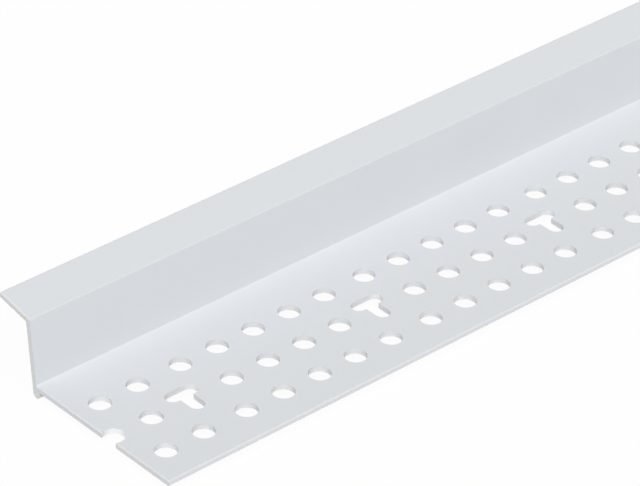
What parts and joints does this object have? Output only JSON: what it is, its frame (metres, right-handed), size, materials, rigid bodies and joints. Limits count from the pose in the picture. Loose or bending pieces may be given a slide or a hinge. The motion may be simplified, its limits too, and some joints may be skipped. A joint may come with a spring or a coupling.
{
  "type": "shadow gap profile",
  "caption": "White extruded plastic shadow gap profile with a Z section: perforated flange, leaning web, lip for the back of the gap and a plaster nib.",
  "frame": {"origin": "on the floor, under the middle of the length and of the overall width", "axes": "+X along the length, away from the cut end that the picture shows; -Y is where the perforated flange points and +Y where the lip points; +Z is square to the flange, from the nib to the lip"},
  "size_m": [2.5, 0.0434, 0.0165],
  "materials": {
    "pvc": "satin"
  },
  "bodies": {
    "root": {"profile": "pvc"}
  },
  "joints": []
}
